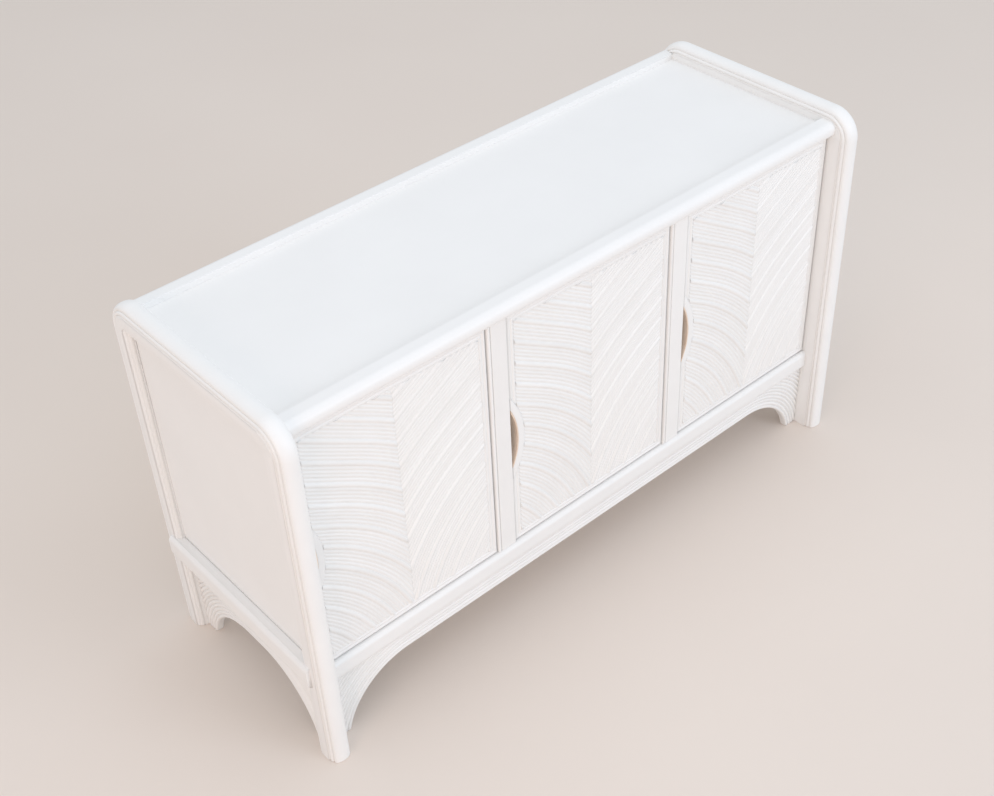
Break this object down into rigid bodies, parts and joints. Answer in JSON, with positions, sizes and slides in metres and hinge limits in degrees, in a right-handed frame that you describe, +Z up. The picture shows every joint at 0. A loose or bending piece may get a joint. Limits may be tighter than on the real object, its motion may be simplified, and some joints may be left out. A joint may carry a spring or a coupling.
{
  "type": "sideboard",
  "caption": "White reed-faced sideboard with arched feet, rounded end frames and inset pivot doors that carry a leaf-frond reed pattern and crescent finger pulls.",
  "frame": {"origin": "middle of the footprint on the floor", "axes": "+X along the width to the right as seen from the front, +Y to the back, +Z up; the doors face -Y"},
  "size_m": [1.39, 0.508, 0.784],
  "materials": {
    "white_paint": "satin white paint",
    "white_reed": "satin white paint over split reed",
    "bare_wood": "bare tan wood",
    "beech": "raw",
    "bare_plywood": "raw sanded",
    "zinc_steel": "zinc plated",
    "white_plastic": "moulded"
  },
  "bodies": {
    "carcass": {"left_hoop": "white_paint", "right_hoop": "white_paint", "front_top_rail": "white_paint", "rear_top_rail": "white_paint", "front_bottom_rail": "white_paint", "rear_bottom_rail": "white_paint", "left_side_rail": "white_paint", "right_side_rail": "white_paint", "front_apron": "white_paint", "left_apron": "white_paint", "right_apron": "white_paint", "top_panel": "white_paint", "left_side_panel": "white_paint", "right_side_panel": "white_paint", "bottom_panel": "white_paint", "left_stile": "white_paint", "right_stile": "white_paint", "left_divider": "white_paint", "right_divider": "white_paint", "left_shelf": "white_paint", "centre_shelf": "white_paint", "right_shelf": "white_paint", "left_hoop_reeds": "white_reed", "right_hoop_reeds": "white_reed", "front_apron_reeds": "white_reed", "side_apron_reeds": "white_reed", "stile_reeds": "white_reed", "back_panel": "bare_plywood", "shelf_pins": "zinc_steel", "rail_dowels": "beech", "frame_pivots": "zinc_steel", "frame_pivot_screws": "zinc_steel", "door_catches": "white_plastic"},
    "left_door": {"left_door_panel": "white_paint", "left_door_frond_reeds": "white_reed", "left_door_border_reeds": "white_reed", "left_door_pull_rim": "white_paint", "left_door_pull_liner": "bare_wood", "left_door_pivot_plates": "zinc_steel", "left_door_pivot_screws": "zinc_steel", "left_door_strike_plate": "zinc_steel"},
    "centre_door": {"centre_door_panel": "white_paint", "centre_door_frond_reeds": "white_reed", "centre_door_border_reeds": "white_reed", "centre_door_pull_rim": "white_paint", "centre_door_pull_liner": "bare_wood", "centre_door_pivot_plates": "zinc_steel", "centre_door_pivot_screws": "zinc_steel", "centre_door_strike_plate": "zinc_steel"},
    "right_door": {"right_door_panel": "white_paint", "right_door_frond_reeds": "white_reed", "right_door_border_reeds": "white_reed", "right_door_pull_rim": "white_paint", "right_door_pull_liner": "bare_wood", "right_door_pivot_plates": "zinc_steel", "right_door_pivot_screws": "zinc_steel", "right_door_strike_plate": "zinc_steel"}
  },
  "joints": [
    {"name": "left_door_hinge", "type": "hinge", "parent": "carcass", "child": "left_door", "pos_m": [-0.2655, -0.1958, 0.4655], "axis": [0, 0, 1], "range_deg": [0, 100]},
    {"name": "centre_door_hinge", "type": "hinge", "parent": "carcass", "child": "centre_door", "pos_m": [0.1785, -0.1958, 0.4655], "axis": [0, 0, 1], "range_deg": [0, 100]},
    {"name": "right_door_hinge", "type": "hinge", "parent": "carcass", "child": "right_door", "pos_m": [0.6225, -0.1958, 0.4655], "axis": [0, 0, 1], "range_deg": [0, 100]}
  ]
}
